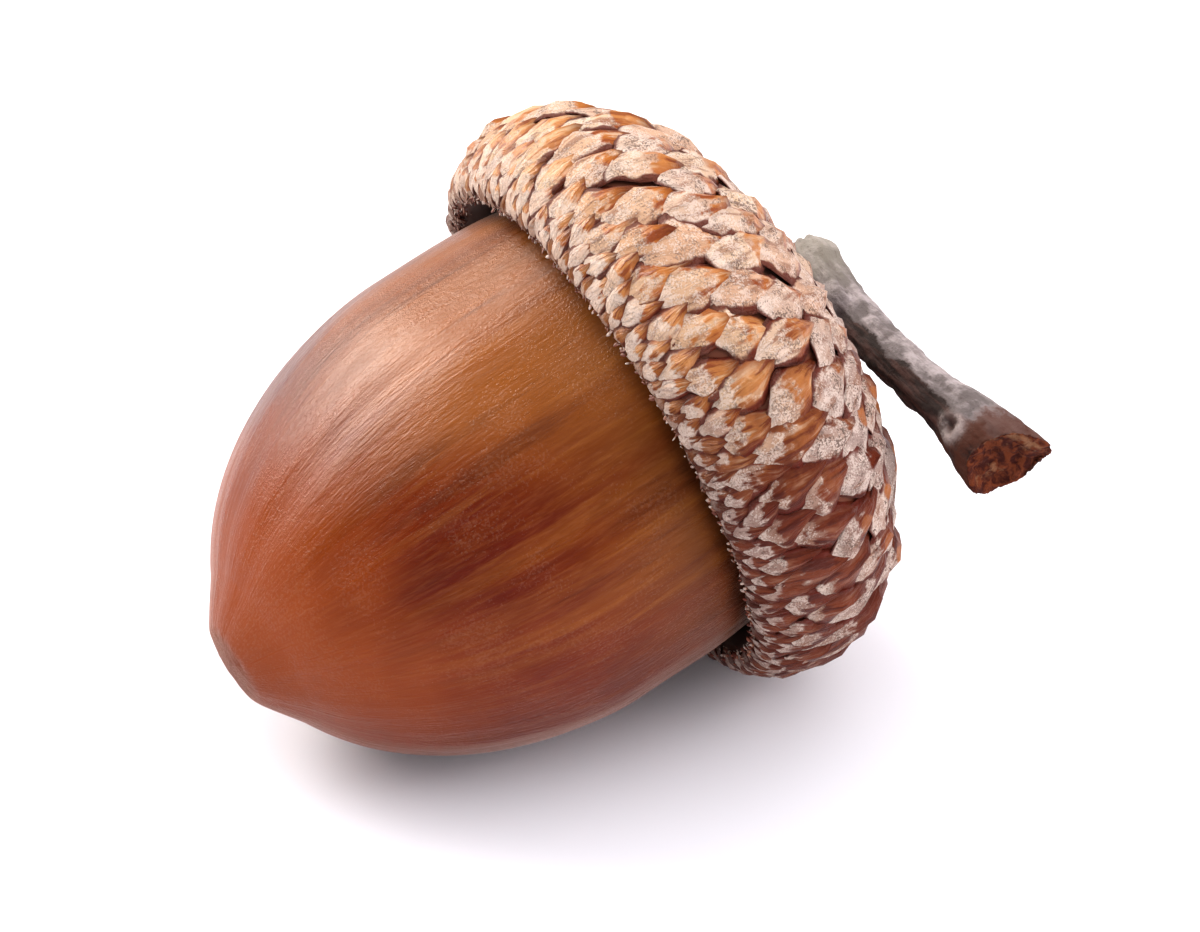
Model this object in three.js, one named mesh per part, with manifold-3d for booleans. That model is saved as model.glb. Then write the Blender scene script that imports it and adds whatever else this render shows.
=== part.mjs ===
// An acorn of the red oak group, lying on its side: a nut in its scaly cup, with the cup's woody stalk.
//
// Millimetres, +Z up. The acorn rests on z = 0 on two small flat spots, one under the nut's belly and
// one under the cup, so its axis dips towards the nut's tip. The origin is on that surface, below the
// middle of the whole object's box. The nut's tip points to -X and the stalk turns towards -Y.
//
// Each piece is drawn in the acorn's own frame first. There +Y runs along the axis from the cup to the
// nut's tip, y = 0 is the cup's widest ring, +X is the side the stalk turns to and +Z faces the ground.

import * as THREE from "three";
import { mergeVertices } from "three/addons/utils/BufferGeometryUtils.js";
import Module from "manifold-3d";

// Nut
const NUT_RADIUS = 9.85;
const BELLY_AT = 8.0; // the nut's widest section
const NUT_FRONT = 12.65; // from the belly to the rounded end, without the knob
const NUT_BACK = 13.1; // from the belly to the seat in the cup
const FRONT_FULLNESS = 1.82; // 2 is an ellipse
const BACK_FULLNESS = 4; // blunter than an ellipse, so the nut fills its cup
const KNOB_FOOT_RADIUS = 2.9;
const KNOB_PROUD = 0.5; // how far the knob stands beyond the nut's rounded end
// The knob's outline from its foot to the axis: a radius, and how far it lies short of the knob's end.
const KNOB_OUTLINE = [
  [2.0, 0.75],
  [1.8, 0.35],
  [1.44, 0.08],
  [0, 0],
];
const NUT_SKEW = THREE.MathUtils.degToRad(1.7); // the nut sits a little askew in the cup
const NUT_SIDES = 48;
const STEPS_FRONT = 18; // along the nut, from its belly to the rounded end
const STEPS_BACK = 8; // along the nut and the hollow, from the belly to the seat

// Cup
const CUP_RADIUS = 12.65;
const CUP_BACK = 6.85; // from the widest ring to the back
const LIP_AT = 3.3; // from the widest ring to the rim's front edge
const LIP_RADIUS = 10.85; // the rim's front edge
const LIP_INSIDE_DROP = 0.6; // the rim's inner edge lies this far behind its front edge
const LIP_STRAIGHT = 1; // the hollow is straight for at least this far behind its edge
const SEAT_GAP = 0.5; // between the nut and the cup
const SCALE_RELIEF = 0.35; // how far a scale's free tip stands over the row in front of it
const SCALES_AROUND = 32;
const SCALE_ROWS_BACK = 9;
const SCALE_ROWS_LIP = 4;
const SCALE_ROWS = SCALE_ROWS_BACK + SCALE_ROWS_LIP;
const ZIGZAG = 0.3; // how far the tips reach over the edge of their row, in rows

// Stalk
// From the knuckle to the broken end: sideways, out behind the cup's back, and towards the ground.
const STALK_ROUTE = [
  [-3.6, 1.75, 0.6],
  [-1.4, 1.55, 1.2],
  [1.5, 1.4, 1.4],
  [6.2, 1.1, 0.8],
  [9.2, 1.25, 0.95],
  [11.8, 1.5, 1.85],
];
const SHAFT_RADIUS = 0.96;
const KNUCKLE_RADIUS = 1.25;
const FLARE_RADIUS = 1.7; // the broken end
// Lengths along the stalk, as shares of it
const DOME_SHARE = 0.09; // the knuckle's rounded end
const DOME_CUT = 0.02; // cut off the dome, so that its end is a small flat
const KNUCKLE_SHARE = 0.28; // where the knuckle has thinned by two thirds
const FLARE_SHARE = 0.17; // the same for the flare
const NECK_RADIUS = 1.3; // the short neck that joins the cup
const NECK_DROP = 1.2; // it joins the cup a little below the middle of the back
const STALK_GAP = 0.3; // between the cup and the neck
const NECK_END = STALK_ROUTE[2][1]; // in the middle of the shaft
const STALK_SIDES = 12;
const STALK_STEPS = 26;

// Resting on the ground
const FLAT_DEPTH = 0.13; // what the two flat spots take off the round shapes
const GROUND_SIZE = 100;
const GROUND_DEPTH = 10;

const LOOKS = {
  nut: { color: 0x9a4a1c, roughness: 0.42, metalness: 0 },
  cup: { color: 0xb08a66, roughness: 0.85, metalness: 0 },
  stalk: { color: 0x6e635c, roughness: 0.9, metalness: 0 },
};
const SAME_POINT = 1e-3; // points closer than this are one

const wasm = await Module();
wasm.setup();

const point = (radius, along) => new THREE.Vector2(radius, along);

/** Radius of a superelliptic end, at a share of its length. */
const roundedEnd = (radius, share, fullness) => radius * Math.sqrt(Math.max(0, 1 - share ** fullness));

/** `count` + 1 shares from 0 to 1 that crowd towards 1, where a rounded end turns fastest. */
const easedShares = (count) =>
  Array.from({ length: count + 1 }, (_, i) => Math.sin((i / count) * (Math.PI / 2)));

/** The blunt back of the nut or, `gap` larger, of the hollow that holds it, from the axis to the belly. */
function backOutline(gap) {
  const [radius, depth] = [NUT_RADIUS + gap, NUT_BACK + gap];
  return easedShares(STEPS_BACK)
    .reverse()
    .map((share) => point(roundedEnd(radius, share, BACK_FULLNESS), BELLY_AT - depth * share));
}

function nutOutline() {
  const front = easedShares(STEPS_FRONT)
    .map((share) => point(roundedEnd(NUT_RADIUS, share, FRONT_FULLNESS), BELLY_AT + NUT_FRONT * share))
    .filter((p) => p.x > KNOB_FOOT_RADIUS);
  const end = BELLY_AT + NUT_FRONT + KNOB_PROUD;
  const knob = KNOB_OUTLINE.map(([radius, short]) => point(radius, end - short));
  return [...backOutline(0), ...front.slice(1), ...knob];
}

/**
 * A point on the cup's outside, `sunk` below the scales' tips. `row` counts rows of scales from the
 * middle of the back, so it is 0 there, SCALE_ROWS_BACK at the widest ring and SCALE_ROWS at the rim.
 */
function cupOutside(row, sunk) {
  const back = Math.min(row / SCALE_ROWS_BACK, 1) * (Math.PI / 2);
  const lip = Math.max((row - SCALE_ROWS_BACK) / SCALE_ROWS_LIP, 0) * (Math.PI / 2);
  const sideways = Math.sin(back) * Math.cos(lip);
  const forwards = Math.sin(lip) - Math.cos(back);
  const radius = Math.sin(back) * CUP_RADIUS - (1 - Math.cos(lip)) * (CUP_RADIUS - LIP_RADIUS);
  const along = Math.sin(lip) * LIP_AT - Math.cos(back) * CUP_BACK;
  return point(radius - sunk * sideways, along - sunk * forwards);
}

/** The outside at the edges of the rows, twice each: on a row's tips, and sunk under them. */
function cupOutsideRings() {
  const edges = Array.from({ length: SCALE_ROWS - 1 }, (_, i) => i + 1);
  const rings = edges.flatMap((row) => [cupOutside(row, 0), cupOutside(row, SCALE_RELIEF)]);
  return [cupOutside(0, 0), ...rings, cupOutside(SCALE_ROWS, 0)];
}

/** The hollow, from the rim's inner edge down to the axis. */
function cupHollow() {
  const edge = LIP_AT - LIP_INSIDE_DROP;
  const bowl = backOutline(SEAT_GAP).filter((p) => p.y < edge - LIP_STRAIGHT);
  return [...bowl, point(NUT_RADIUS + SEAT_GAP, edge)].reverse();
}

/** Draws the row edges of a turned cup into zigzags, each row's tips over the gaps of the next one. */
function drawOutScales(geometry, ringCount) {
  const place = geometry.attributes.position;
  for (let i = 0; i < place.count; i++) {
    const ring = i % ringCount;
    const column = Math.floor(i / ringCount);
    const row = Math.ceil(ring / 2);
    if (row === 0 || row >= SCALE_ROWS) continue;
    const isTip = (row + column) % 2 === 0;
    const isSunk = ring % 2 === 0;
    const { x: radius, y: along } = cupOutside(row + (isTip ? ZIGZAG : -ZIGZAG), isSunk ? SCALE_RELIEF : 0);
    const stretch = radius / Math.hypot(place.getX(i), place.getZ(i));
    place.setXYZ(i, place.getX(i) * stretch, along, place.getZ(i) * stretch);
  }
  return geometry;
}

/** A closed rod along a curve, with a radius that varies along it. */
function rodAlong(curve, radiusAt, steps) {
  const rod = new THREE.CylinderGeometry(1, 1, 1, STALK_SIDES, steps);
  const frames = curve.computeFrenetFrames(steps);
  const place = rod.attributes.position;
  for (let i = 0; i < place.count; i++) {
    const step = Math.round((0.5 - place.getY(i)) * steps);
    const radius = radiusAt(step / steps);
    const vertex = curve
      .getPointAt(step / steps)
      .addScaledVector(frames.normals[step], place.getX(i) * radius)
      .addScaledVector(frames.binormals[step], place.getZ(i) * radius);
    place.setXYZ(i, vertex.x, vertex.y, vertex.z);
  }
  return rod;
}

/** Domed at the knuckle, slim in the middle and flared at the broken end. */
function shaftRadius(share) {
  const dome = Math.sqrt(1 - (1 - Math.min(1, (share + DOME_CUT) / DOME_SHARE)) ** 2);
  const knuckle = (KNUCKLE_RADIUS - SHAFT_RADIUS) * Math.exp(-((share / KNUCKLE_SHARE) ** 2));
  const flare = (FLARE_RADIUS - SHAFT_RADIUS) * Math.exp(-(((1 - share) / FLARE_SHARE) ** 2));
  return (SHAFT_RADIUS + knuckle + flare) * dome;
}

/** A shaft that lies across the cup's back, and the short neck that joins it to the cup. */
function stalkSolid() {
  const behind = (sideways, out, drop) => new THREE.Vector3(sideways, -CUP_BACK - out, drop);
  const shaftRoute = new THREE.CatmullRomCurve3(STALK_ROUTE.map((place) => behind(...place)));
  const neckRoute = new THREE.LineCurve3(behind(0, STALK_GAP, NECK_DROP), behind(0, NECK_END, NECK_DROP));
  const shaft = toSolid(rodAlong(shaftRoute, shaftRadius, STALK_STEPS));
  return shaft.add(toSolid(rodAlong(neckRoute, () => NECK_RADIUS, 1)));
}

/** How far a turned outline reaches below the axis's level at y = 0 once its tip dips by `dip` radians. */
const reachBelow = (outline, dip) =>
  Math.max(...outline.map((p) => p.y * Math.sin(dip) + p.x * Math.cos(dip)));

/** The dip at which the nut and the cup touch the ground together. */
function restingDip(nutProfile, cupProfile) {
  const halvings = 40;
  let [low, high] = [0, Math.PI / 4];
  for (let i = 0; i < halvings; i++) {
    const middle = (low + high) / 2;
    if (reachBelow(nutProfile, middle) < reachBelow(cupProfile, middle)) low = middle;
    else high = middle;
  }
  return low;
}

/** Lays the acorn's own frame on the ground: its axis dips by `dip`, and y = 0 is `height` up. */
function layDown(dip, height) {
  const side = new THREE.Vector3(0, -1, 0);
  const towardsTip = new THREE.Vector3(-Math.cos(dip), 0, -Math.sin(dip));
  const frame = new THREE.Matrix4().makeBasis(side, towardsTip, side.clone().cross(towardsTip));
  return frame.setPosition(0, 0, height);
}

/** Turns about a vertical line through the middle of the rim, which keeps every height. */
function skewAtRim(dip, angle) {
  const rim = -LIP_AT * Math.cos(dip);
  const turn = new THREE.Matrix4().makeRotationZ(angle);
  const toOrigin = new THREE.Matrix4().makeTranslation(-rim, 0, 0);
  return new THREE.Matrix4().makeTranslation(rim, 0, 0).multiply(turn).multiply(toOrigin);
}

function toSolid(geometry) {
  const bare = new THREE.BufferGeometry();
  bare.setAttribute("position", geometry.attributes.position.clone());
  bare.setIndex(geometry.index);
  const merged = mergeVertices(bare, SAME_POINT);
  const vertProperties = merged.attributes.position.array;
  const triVerts = new Uint32Array(merged.index.array);
  return new wasm.Manifold(new wasm.Mesh({ numProp: 3, vertProperties, triVerts }));
}

function toGeometry(solid) {
  const mesh = solid.getMesh();
  const geometry = new THREE.BufferGeometry();
  geometry.setAttribute("position", new THREE.BufferAttribute(mesh.vertProperties, 3));
  geometry.setIndex(new THREE.BufferAttribute(mesh.triVerts, 1));
  geometry.computeVertexNormals();
  return geometry;
}

/** Takes off what lies under z = 0, which leaves a flat spot. */
function flattened(geometry) {
  const ground = new THREE.BoxGeometry(GROUND_SIZE, GROUND_SIZE, GROUND_DEPTH);
  ground.translate(0, 0, -GROUND_DEPTH / 2);
  return toGeometry(toSolid(geometry).subtract(toSolid(ground)));
}

function piece(name, geometry) {
  const mesh = new THREE.Mesh(geometry, new THREE.MeshStandardMaterial(LOOKS[name]));
  mesh.name = name;
  return mesh;
}

const nutProfile = nutOutline();
const cupRings = cupOutsideRings();
const cupProfile = [...cupRings, ...cupHollow()];

const dip = restingDip(nutProfile, cupRings);
const laid = layDown(dip, reachBelow(cupRings, dip) - FLAT_DEPTH);

const nutShape = new THREE.LatheGeometry(nutProfile, NUT_SIDES);
nutShape.applyMatrix4(laid).applyMatrix4(skewAtRim(dip, NUT_SKEW));

const cupShape = new THREE.LatheGeometry(cupProfile, SCALES_AROUND * 2);
drawOutScales(cupShape, cupProfile.length).applyMatrix4(laid);

const acorn = new THREE.Group();
acorn.add(
  piece("nut", flattened(nutShape)),
  piece("cup", flattened(cupShape)),
  piece("stalk", toGeometry(stalkSolid()).applyMatrix4(laid)),
);

// Centre the whole over the origin. The ground stays at z = 0.
const box = new THREE.Box3().setFromObject(acorn, true);
acorn.position.set(-(box.min.x + box.max.x) / 2, -(box.min.y + box.max.y) / 2, 0);

export default acorn;
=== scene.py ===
# %% [markdown]
# # An acorn on a white table
#
# This lesson dresses a plain CAD acorn until it looks grown. Three pieces are on the bench: the nut,
# the cup and the stalk. The CAD part settles how big they are and how they lie. Here each one gets the
# surface that a hand would feel: a streaked satin skin, rows of overlapping scales, and weathered bark.
#
# Lengths are written in millimetres, because an acorn is measured in millimetres, and `MM` turns them
# into Blender's metres at the last moment.

import math

import bmesh
import bpy
import numpy as np
from mathutils import Matrix, Vector, noise


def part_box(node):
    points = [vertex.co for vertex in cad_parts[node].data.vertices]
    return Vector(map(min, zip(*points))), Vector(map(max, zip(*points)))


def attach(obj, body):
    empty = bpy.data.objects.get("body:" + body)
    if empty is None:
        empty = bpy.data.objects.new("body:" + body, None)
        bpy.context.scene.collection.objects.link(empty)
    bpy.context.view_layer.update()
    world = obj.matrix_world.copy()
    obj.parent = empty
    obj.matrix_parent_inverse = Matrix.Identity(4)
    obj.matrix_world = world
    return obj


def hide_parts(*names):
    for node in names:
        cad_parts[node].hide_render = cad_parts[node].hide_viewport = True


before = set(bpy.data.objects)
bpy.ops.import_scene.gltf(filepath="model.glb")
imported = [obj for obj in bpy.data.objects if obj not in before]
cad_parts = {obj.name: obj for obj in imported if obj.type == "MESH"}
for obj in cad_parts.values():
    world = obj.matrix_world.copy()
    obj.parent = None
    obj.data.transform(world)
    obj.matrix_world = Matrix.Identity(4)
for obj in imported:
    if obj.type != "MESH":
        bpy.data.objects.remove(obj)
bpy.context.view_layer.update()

MM = 0.001
scene = bpy.context.scene
scene.view_settings.view_transform = "Standard"

# %% [markdown]
# ## Where the acorn lies
#
# The acorn lies on its side, with its axis dipping towards the nut's tip. It is much easier to shape in
# a frame of its own, so everything below is drawn in millimetres with Y along the axis towards the tip,
# X to the side that the stalk turns to, and Z towards the ground. Y is 0 at the cup's widest ring. One
# matrix then lays each finished mesh down on the table. The ring's place comes from the cup's CAD box:
# the back of the cup is half an ellipsoid, and an ellipsoid's box tells where its middle is.

# %% The acorn's own frame
CUP_RADIUS = 12.65
CUP_BACK = 6.85  # from the widest ring to the back
DIP = math.radians(17.03)


def reach_of_back(towards_axis, across_axis):
    """How far the ellipsoid of the cup's back reaches in a direction, in millimetres."""
    return math.hypot(CUP_BACK * towards_axis, CUP_RADIUS * across_axis)


cup_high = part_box("cup")[1] / MM
ring_centre = Vector((
    cup_high.x - reach_of_back(math.cos(DIP), math.sin(DIP)),
    0.0,
    cup_high.z - reach_of_back(math.sin(DIP), math.cos(DIP)),
))
side = Vector((0, -1, 0))
towards_tip = Vector((-math.cos(DIP), 0, -math.sin(DIP)))
towards_ground = side.cross(towards_tip)
laid = Matrix((side, towards_tip, towards_ground)).transposed().to_4x4()
laid.translation = ring_centre
laid = Matrix.Scale(MM, 4) @ laid
print("the cup's widest ring is centred on", [round(c, 2) for c in ring_centre], "mm")

# %% [markdown]
# ## Small tools for meshes
#
# A turned shape is a grid: one ring of points for each step of an outline. The helpers below turn an
# outline into rings, and rings into a mesh whose ends are shut with a fan of triangles. Numbers that
# belong to the surface itself, such as how far along the nut a point lies, are stored on the mesh as
# attributes. The materials read them later, so that streaks and tints follow the piece and not the room.

# %% Rings, grids and attributes
def smooth_step(low, high, value):
    share = np.clip((value - low) / (high - low), 0, 1)
    return share * share * (3 - 2 * share)


def turned(radius, along, columns, drop=0.0):
    """Rings of points about the axis, or about a line that runs `drop` below it."""
    turn = np.linspace(0, 2 * np.pi, columns, endpoint=False)
    return np.stack([
        radius[:, None] * np.cos(turn),
        np.broadcast_to(along[:, None], (len(along), columns)),
        drop + radius[:, None] * np.sin(turn),
    ], -1)


def mesh_of(name, points, faces=()):
    mesh = bpy.data.meshes.new(name)
    mesh.from_pydata(points, [], faces)
    return mesh


def shown(name, data):
    """Puts a mesh, a lamp or a camera into the scene."""
    holder = bpy.data.objects.new(name, data)
    scene.collection.objects.link(holder)
    return holder


def grid_mesh(name, rings):
    """A closed mesh from rings, an array of rows x columns x 3. A fan closes each end."""
    rows, columns = rings.shape[:2]
    points = rings.reshape(-1, 3)
    row, column = np.meshgrid(np.arange(rows - 1), np.arange(columns), indexing="ij")
    following = (column + 1) % columns
    corners = [row * columns + column, row * columns + following]
    corners += [(row + 1) * columns + following, (row + 1) * columns + column]
    faces = np.stack(corners, -1).reshape(-1, 4).tolist()
    for first, flip in ((0, True), ((rows - 1) * columns, False)):
        ring = list(range(first, first + columns))
        middle = len(points)
        points = np.vstack([points, points[ring].mean(0)])
        fan = [(a, b, middle) for a, b in zip(ring, ring[1:] + ring[:1])]
        faces += [face[::-1] if flip else face for face in fan]
    return mesh_of(name, points.tolist(), faces)


def points_of(mesh, field="co"):
    flat = np.empty(len(mesh.vertices) * 3)
    mesh.vertices.foreach_get(field, flat)
    return flat.reshape(-1, 3)


def set_points(mesh, points):
    mesh.vertices.foreach_set("co", np.asarray(points, np.float64).ravel())
    mesh.update()


def store(mesh, name, values):
    """Keeps one number or one vector for each point, as an attribute that materials can read."""
    values = np.asarray(values, np.float32)
    kind, field = ("FLOAT", "value") if values.ndim == 1 else ("FLOAT_VECTOR", "vector")
    mesh.attributes.new(name, kind, "POINT").data.foreach_set(field, values.ravel())


def noise_at(points, size, seed, octaves=3):
    """Soft noise from -1 to 1 for each point. `size` is how big its lumps are, in millimetres."""
    return np.array([noise.fractal(Vector(p), 1.0, 2.0, octaves) for p in points / size + seed])


def bump_of(distance, width):
    """A rounded bump: 1 where the distance is 0, and fading out over the width."""
    return np.exp(-((distance / width) ** 2))


def lay_down(mesh, how=laid):
    """Moves a finished mesh from the acorn's own frame to its place, with nothing under the table."""
    mesh.transform(how)
    points = points_of(mesh)
    points[:, 2] = np.maximum(points[:, 2], 0)
    set_points(mesh, points)


def outward(mesh):
    """Makes every face look outwards and shades it smooth."""
    work = bmesh.new()
    work.from_mesh(mesh)
    bmesh.ops.recalc_face_normals(work, faces=work.faces)
    work.to_mesh(mesh)
    work.free()
    mesh.polygons.foreach_set("use_smooth", [True] * len(mesh.polygons))
    mesh.update()


def finished(mesh, node, material, stands_for=True):
    """Puts a finished mesh into the scene as a piece of the acorn."""
    piece = shown(mesh.name, mesh)
    mesh.materials.clear()
    mesh.materials.append(material)
    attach(piece, "root")
    if stands_for:
        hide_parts(node)
    print(f"{piece.name}: {len(mesh.vertices)} points, {len(mesh.polygons)} faces")
    return piece


# %% [markdown]
# ## Small tools for nodes
#
# Both the materials and the Geometry Nodes below are sums of many small steps. A `Value` stands for a
# socket, so that a formula can be written as a formula: `a * 2 + b` adds the two maths nodes that work
# it out. Colours are laid over one another like washes of paint, each with its own mask.

# %% Values, formulas and washes of colour
class Value:
    """A node's output. Sums, products and quotients of values add the nodes that work them out."""

    def __init__(self, tree, socket):
        self.tree, self.socket = tree, socket

    def __add__(self, other):
        return maths("ADD", self, other)

    def __sub__(self, other):
        return maths("SUBTRACT", self, other)

    def __mul__(self, other):
        return maths("MULTIPLY", self, other)

    def __truediv__(self, other):
        return maths("DIVIDE", self, other)


def fill(node, inputs):
    """Links a node's inputs to values, or sets them to numbers, by name or by place."""
    for name, value in inputs.items():
        if isinstance(value, Value):
            value.tree.links.new(value.socket, node.inputs[name])
        else:
            node.inputs[name].default_value = value
    return node


def add(tree, kind, inputs=None, output=0, **settings):
    """Adds a node and returns the output asked for, or several if their names come as a tuple."""
    node = tree.nodes.new(kind)
    for name, value in settings.items():
        setattr(node, name, value)
    fill(node, inputs or {})
    if isinstance(output, tuple):
        return tuple(Value(tree, node.outputs[name]) for name in output)
    return Value(tree, node.outputs[output])


def tree_of(values):
    return next(value.tree for value in values if isinstance(value, Value))


def maths(operation, *values):
    return add(tree_of(values), "ShaderNodeMath", dict(enumerate(values)), operation=operation)


def vector_maths(operation, *values):
    return add(tree_of(values), "ShaderNodeVectorMath", dict(enumerate(values)), operation=operation)


def scaled(vector, factor):
    return add(vector.tree, "ShaderNodeVectorMath", {0: vector, "Scale": factor}, operation="SCALE")


def join(*parts):
    return add(tree_of(parts), "ShaderNodeCombineXYZ", dict(enumerate(parts)))


def split(vector):
    return add(vector.tree, "ShaderNodeSeparateXYZ", {0: vector}, (0, 1, 2))


def remap(value, low, high, new_low=0.0, new_high=1.0):
    """Leads a value smoothly from one range to another, and holds it there past both ends."""
    limits = {"From Min": low, "From Max": high, "To Min": new_low, "To Max": new_high}
    return add(value.tree, "ShaderNodeMapRange", {"Value": value, **limits}, interpolation_type="SMOOTHSTEP")


def clouds_at(where, scale, detail, output="Fac", **more):
    """Soft noise from 0 to 1, with about as many lumps for each unit of `where` as the scale says."""
    inputs = {"Vector": where, "Scale": scale, "Detail": detail, **more}
    return add(where.tree, "ShaderNodeTexNoise", inputs, output)


def blend(mask, first, second):
    """Mixes two colours by a mask. Each is a value, or red, green and blue."""
    colours = {name: (*c, 1.0) if isinstance(c, tuple) else c for name, c in (("A", first), ("B", second))}
    return add(mask.tree, "ShaderNodeMix", {"Factor": mask, **colours}, "Result", data_type="RGBA")


def paint(ground, *washes):
    """Lays washes of colour over a ground, one after another. Each wash is a mask and a colour."""
    for mask, colour in washes:
        ground = blend(mask, ground, colour)
    return ground


def relief(*layers):
    """A surface normal from layers of relief. Each is a height, its millimetres and its strength."""
    under = {}
    for height, distance, strength in layers:
        inputs = {"Height": height, "Distance": distance * MM, "Strength": strength, **under}
        under = {"Normal": add(height.tree, "ShaderNodeBump", inputs)}
    return under["Normal"]


def attribute(tree, name, output="Fac"):
    return add(tree, "ShaderNodeAttribute", output=output, attribute_name=name)


def place_in_mm(tree):
    return scaled(add(tree, "ShaderNodeTexCoord", output="Object"), 1 / MM)


def new_material(name):
    material = bpy.data.materials.new(name)
    material.use_nodes = True
    return material, material.node_tree, material.node_tree.nodes["Principled BSDF"]


def new_group(kind, name, inputs, outputs):
    """An empty node group. An input is given the kind of its socket, or the number it starts with."""
    tree = bpy.data.node_groups.new(name, kind)
    for label, start in inputs.items():
        socket_kind = {float: "Float", int: "Int"}.get(type(start), start)
        socket = tree.interface.new_socket(label, in_out="INPUT", socket_type="NodeSocket" + socket_kind)
        if socket_kind is not start:
            socket.default_value = start
    for label, socket_kind in outputs.items():
        tree.interface.new_socket(label, in_out="OUTPUT", socket_type="NodeSocket" + socket_kind)
    given = tree.nodes.new("NodeGroupInput")
    given = {label: Value(tree, given.outputs[label]) for label in inputs}
    return tree, given, tree.nodes.new("NodeGroupOutput")


print("tools for nodes:", ", ".join(tool.__name__ for tool in (add, maths, remap, blend, paint, relief)))

# %% [markdown]
# ## Shared surface effects
#
# Two effects come back on every piece. Fibres are fine lines that run one way, as in any wood or husk.
# Specks are small dark or pale dots: pores, mould and dust. Each is built once as a node group with
# named inputs, and each material sets its own values.

# %% Fibres and specks
def make_fibres():
    """Lines along the third axis of the coordinates, with a fine and a coarse layer."""
    tree, given, result = new_group(
        "ShaderNodeTree", "fibres",
        {"Coordinates": "Vector", "Lines per mm": 3.0, "Stretch": 12.0},
        {"Fine": "Float", "Coarse": "Float"},
    )
    squeeze = join(1.0, 1.0, maths("DIVIDE", 1.0, given["Stretch"]))
    drawn = vector_maths("MULTIPLY", given["Coordinates"], squeeze)
    for label, share in (("Fine", 1.0), ("Coarse", 0.22)):
        fill(result, {label: clouds_at(drawn, given["Lines per mm"] * share, 5.0, Roughness=0.62)})
    return tree


def make_specks():
    """Scattered dots that gather in clumps. The amount is how thickly they lie where they gather."""
    tree, given, result = new_group(
        "ShaderNodeTree", "specks",
        {"Coordinates": "Vector", "Dots per mm": 5.0, "Amount": 0.5, "Clump size": 1.0},
        {"Mask": "Float"},
    )
    dots = clouds_at(given["Coordinates"], given["Dots per mm"], 1.5, Roughness=0.55)
    clumps = clouds_at(given["Coordinates"], maths("DIVIDE", 1.0, given["Clump size"]), 2.0)
    level = dots + remap(clumps, 0.35, 0.65, -0.12, 0.12)
    low = maths("SUBTRACT", 0.86, given["Amount"] * 0.5)
    fill(result, {"Mask": remap(level, low, low + 0.09)})
    return tree


FIBRES = make_fibres()
SPECKS = make_specks()


def fibres(coordinates, lines_per_mm, stretch):
    """The fine and the coarse layer of fibres."""
    inputs = {"Coordinates": coordinates, "Lines per mm": lines_per_mm, "Stretch": stretch}
    return add(coordinates.tree, "ShaderNodeGroup", inputs, ("Fine", "Coarse"), node_tree=FIBRES)


def specks(coordinates, dots_per_mm, amount, clump_size=1.0):
    inputs = {"Coordinates": coordinates, "Dots per mm": dots_per_mm}
    inputs |= {"Amount": amount, "Clump size": clump_size}
    return add(coordinates.tree, "ShaderNodeGroup", inputs, "Mask", node_tree=SPECKS)


print("node groups:", [group.name for group in bpy.data.node_groups])

# %% [markdown]
# ## The nut
#
# The nut is a turned shape: a blunt seat inside the cup, straight flanks, a full, rounded front and a
# small knob, the scar of the flower's styles. Real nuts aren't perfectly round, so the skin gets very
# shallow lengthwise ribs and dents. It sits a little askew in its cup.

# %% The nut's outline
NUT_RADIUS = 9.85
BELLY_AT = 8.0
NUT_FRONT = 12.65
NUT_BACK = 13.1
FRONT_FULLNESS = 1.82
BACK_FULLNESS = 4
KNOB_FOOT = 3.7
KNOB_RADIUS = 1.78
KNOB_RISE = 0.62  # from the nut's rounded end to the knob's edge
KNOB_SWEEP = 1.4  # above 1, the rise to the knob starts gently
KNOB_PROUD = 0.5
KNOB_CROWN = 0.1
KNOB_ROUNDING = 0.12
NUT_SKEW = math.radians(1.7)
LIP_AT = 3.3


def seat_outline(gap, steps):
    """The nut's blunt back, or the hollow that follows it at a distance, from its widest place."""
    back = np.sin(np.linspace(0, np.pi / 2, steps))
    radius = (NUT_RADIUS + gap) * np.sqrt(np.maximum(0, 1 - back**BACK_FULLNESS))
    return radius, BELLY_AT - (NUT_BACK + gap) * back


def nut_outline():
    """Radius and place along the axis, from the middle of the seat to the middle of the knob."""
    seat_radius, seat_along = (line[::-1] for line in seat_outline(0, 60))
    front = np.sin(np.linspace(0, np.pi / 2, 160))[1:]
    front_radius = NUT_RADIUS * np.sqrt(np.maximum(0, 1 - front**FRONT_FULLNESS))
    # Past the foot of the knob the steps are even in radius, so that its edge comes out smooth.
    radius = np.concatenate([front_radius[front_radius > KNOB_FOOT], np.linspace(KNOB_FOOT, 0.03, 70)])
    dome = BELLY_AT + NUT_FRONT * (1 - (radius / NUT_RADIUS) ** 2) ** (1 / FRONT_FULLNESS)
    climb = np.clip((KNOB_FOOT - radius) / (KNOB_FOOT - KNOB_RADIUS), 0, 2)
    cone = dome + KNOB_RISE * climb**KNOB_SWEEP
    flat = BELLY_AT + NUT_FRONT + KNOB_PROUD - KNOB_CROWN * (radius / KNOB_RADIUS) ** 2
    # A soft minimum rounds the edge where the cone meets the flat.
    softness = KNOB_ROUNDING * smooth_step(KNOB_FOOT, KNOB_RADIUS + 0.4, radius)
    knob = (cone + flat - np.hypot(cone - flat, softness)) / 2
    along = np.where(radius > KNOB_FOOT, dome, knob)
    return np.concatenate([seat_radius, radius]), np.concatenate([seat_along, along])


# %% The nut's shape
RIB_HEIGHT, DENT_DEPTH, KNOB_WEAR = 0.09, 0.035, 0.03
RIB_GRAIN = np.array([4, 4, 1 / 14])  # many ribs round the nut, which change slowly along it


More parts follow.
